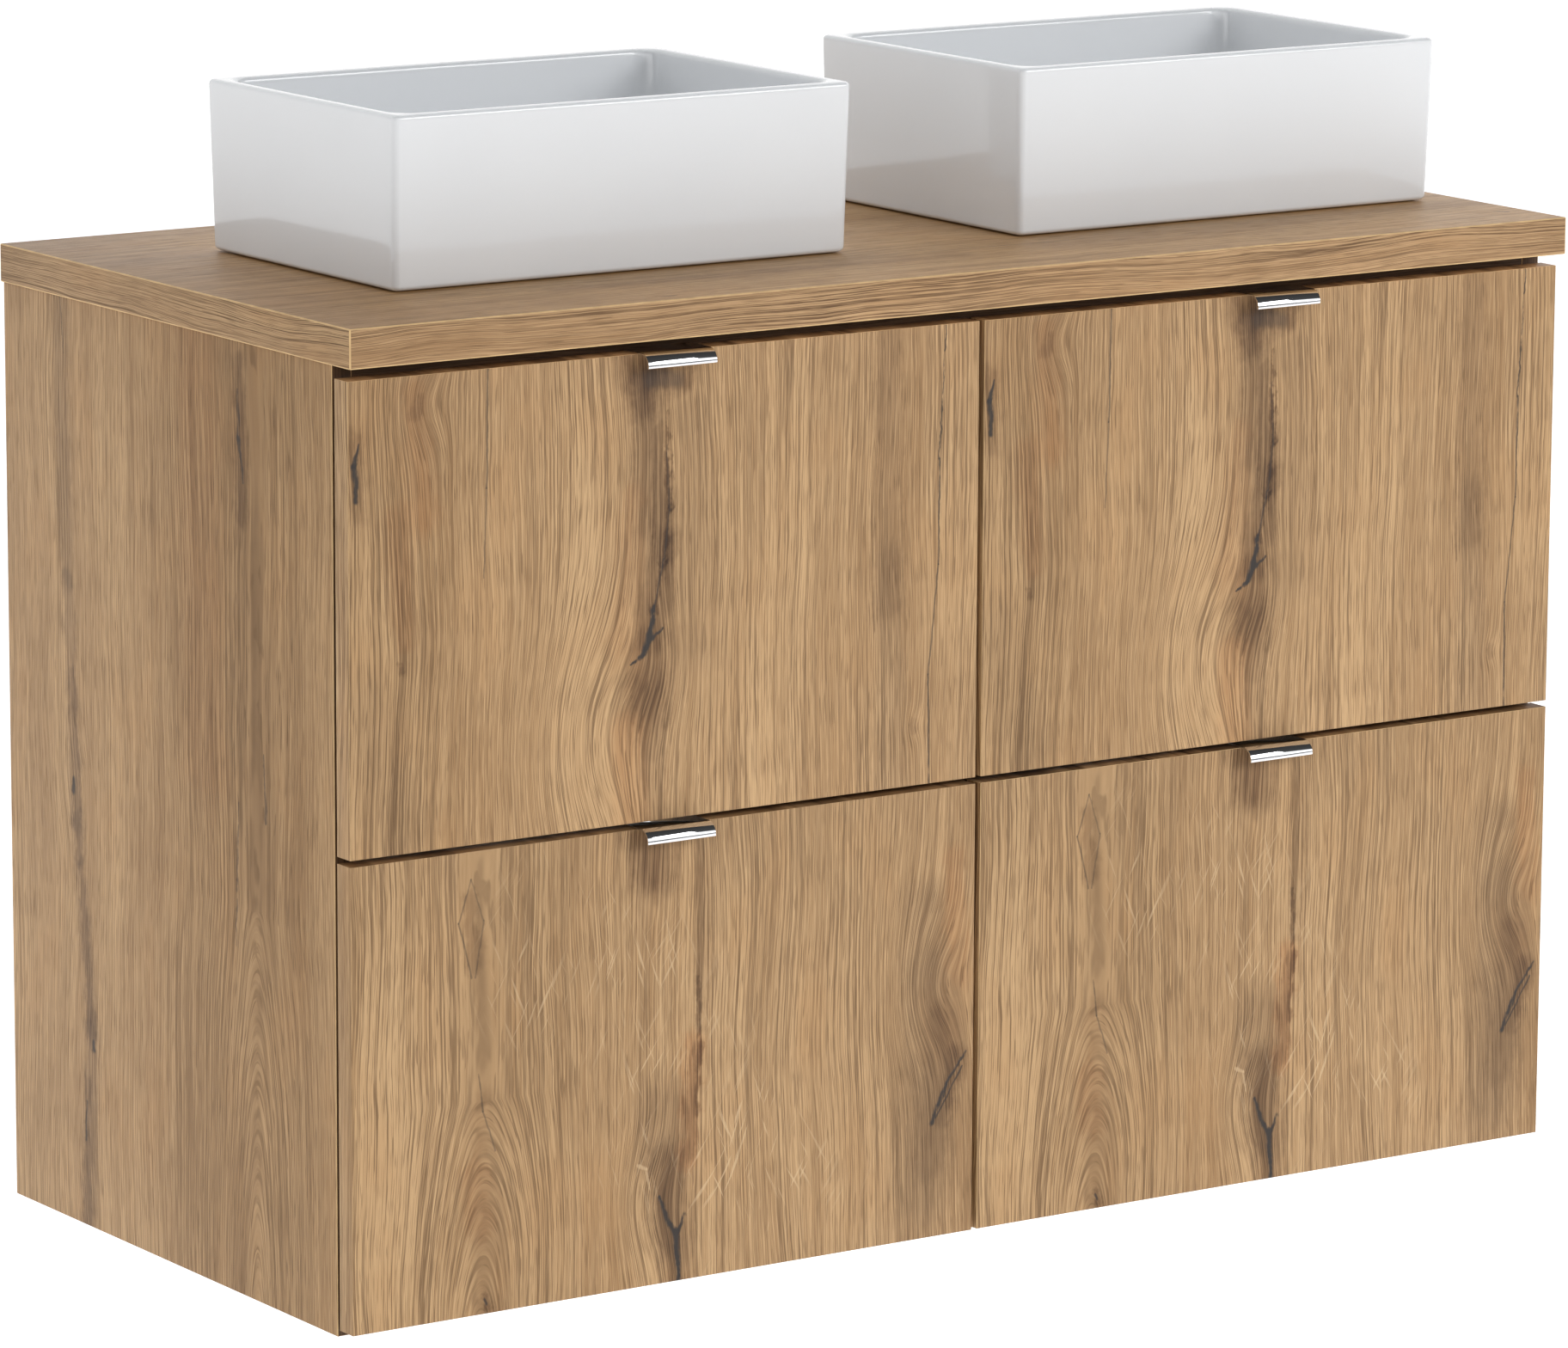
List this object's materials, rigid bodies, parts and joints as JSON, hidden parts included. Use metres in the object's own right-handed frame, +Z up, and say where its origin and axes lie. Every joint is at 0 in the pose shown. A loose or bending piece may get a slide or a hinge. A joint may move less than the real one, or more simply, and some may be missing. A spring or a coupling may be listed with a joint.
{
  "type": "vessel sink on vanity",
  "caption": "Wall-hung oak-decor vanity with stacked full-extension drawers, chrome edge pulls and rectangular vessel basins on its countertop.",
  "frame": {"origin": "middle of the four wall screw holes, on the wall plane, 70 mm below the countertop's underside", "axes": "+X to the right as seen from the front, +Y into the wall, +Z up; the drawers open along -Y"},
  "size_m": [1.21, 0.574, 0.957],
  "materials": {
    "oak_decor": "matt oak-decor melamine board, vertical grain",
    "oak_countertop": "matt oak-decor board, grain along the width",
    "drawer_board": "matt grey-brown melamine board",
    "ceramic": "glossy white glaze, opaque",
    "chrome": "polished chrome plate",
    "zinc_steel": "bright zinc-plated steel",
    "rubber": "dark soft rubber"
  },
  "bodies": {
    "cabinet": {"side_panel_left": "oak_decor", "side_panel_right": "oak_decor", "centre_divider": "oak_decor", "bottom_panel": "oak_decor", "top_rail_front": "oak_decor", "top_rail_rear": "oak_decor", "back_rail_upper": "oak_decor", "back_panel_lower": "oak_decor", "cam_fasteners": "zinc_steel", "front_bumpers": "rubber", "hanging_brackets": "zinc_steel", "wall_plates": "zinc_steel", "runner_rails": "zinc_steel", "countertop": "oak_countertop", "basin_left": "ceramic", "basin_right": "ceramic", "basin_seals": "rubber", "waste_left": "chrome", "waste_right": "chrome", "waste_washers": "rubber", "waste_nuts": "zinc_steel", "trap_left": "chrome", "trap_right": "chrome", "outlet_tubes": "chrome"},
    "upper_left_drawer": {"upper_left_front": "oak_decor", "upper_left_sides": "drawer_board", "upper_left_back": "drawer_board", "upper_left_bottom": "drawer_board", "upper_left_surround": "drawer_board", "upper_left_handle": "chrome", "upper_left_screws": "zinc_steel", "upper_left_slides": "zinc_steel"},
    "upper_left_middle_members": {"upper_left_middles": "zinc_steel"},
    "upper_right_drawer": {"upper_right_front": "oak_decor", "upper_right_sides": "drawer_board", "upper_right_back": "drawer_board", "upper_right_bottom": "drawer_board", "upper_right_surround": "drawer_board", "upper_right_handle": "chrome", "upper_right_screws": "zinc_steel", "upper_right_slides": "zinc_steel"},
    "upper_right_middle_members": {"upper_right_middles": "zinc_steel"},
    "lower_left_drawer": {"lower_left_front": "oak_decor", "lower_left_sides": "drawer_board", "lower_left_back": "drawer_board", "lower_left_bottom": "drawer_board", "lower_left_handle": "chrome", "lower_left_screws": "zinc_steel", "lower_left_slides": "zinc_steel"},
    "lower_left_middle_members": {"lower_left_middles": "zinc_steel"},
    "lower_right_drawer": {"lower_right_front": "oak_decor", "lower_right_sides": "drawer_board", "lower_right_back": "drawer_board", "lower_right_bottom": "drawer_board", "lower_right_handle": "chrome", "lower_right_screws": "zinc_steel", "lower_right_slides": "zinc_steel"},
    "lower_right_middle_members": {"lower_right_middles": "zinc_steel"},
    "left_plug": {"plug_left": "chrome"},
    "right_plug": {"plug_right": "chrome"}
  },
  "joints": [
    {"name": "upper_left_drawer_slide", "type": "slide", "parent": "cabinet", "child": "upper_left_drawer", "axis": [0, -1, 0], "range_m": [0, 0.44]},
    {"name": "upper_left_middle_slide", "type": "slide", "parent": "cabinet", "child": "upper_left_middle_members", "axis": [0, -1, 0], "range_m": [0, 0.225]},
    {"name": "upper_right_drawer_slide", "type": "slide", "parent": "cabinet", "child": "upper_right_drawer", "axis": [0, -1, 0], "range_m": [0, 0.44]},
    {"name": "upper_right_middle_slide", "type": "slide", "parent": "cabinet", "child": "upper_right_middle_members", "axis": [0, -1, 0], "range_m": [0, 0.225]},
    {"name": "lower_left_drawer_slide", "type": "slide", "parent": "cabinet", "child": "lower_left_drawer", "axis": [0, -1, 0], "range_m": [0, 0.44]},
    {"name": "lower_left_middle_slide", "type": "slide", "parent": "cabinet", "child": "lower_left_middle_members", "axis": [0, -1, 0], "range_m": [0, 0.225]},
    {"name": "lower_right_drawer_slide", "type": "slide", "parent": "cabinet", "child": "lower_right_drawer", "axis": [0, -1, 0], "range_m": [0, 0.44]},
    {"name": "lower_right_middle_slide", "type": "slide", "parent": "cabinet", "child": "lower_right_middle_members", "axis": [0, -1, 0], "range_m": [0, 0.225]},
    {"name": "left_plug_lift", "type": "slide", "parent": "cabinet", "child": "left_plug", "axis": [0, 0, 1], "range_m": [0, 0.008]},
    {"name": "right_plug_lift", "type": "slide", "parent": "cabinet", "child": "right_plug", "axis": [0, 0, 1], "range_m": [0, 0.008]}
  ],
  "couplings": [
    {"joint": "upper_left_middle_slide", "follows": "upper_left_drawer_slide", "ratio": 0.5},
    {"joint": "upper_right_middle_slide", "follows": "upper_right_drawer_slide", "ratio": 0.5},
    {"joint": "lower_left_middle_slide", "follows": "lower_left_drawer_slide", "ratio": 0.5},
    {"joint": "lower_right_middle_slide", "follows": "lower_right_drawer_slide", "ratio": 0.5}
  ]
}
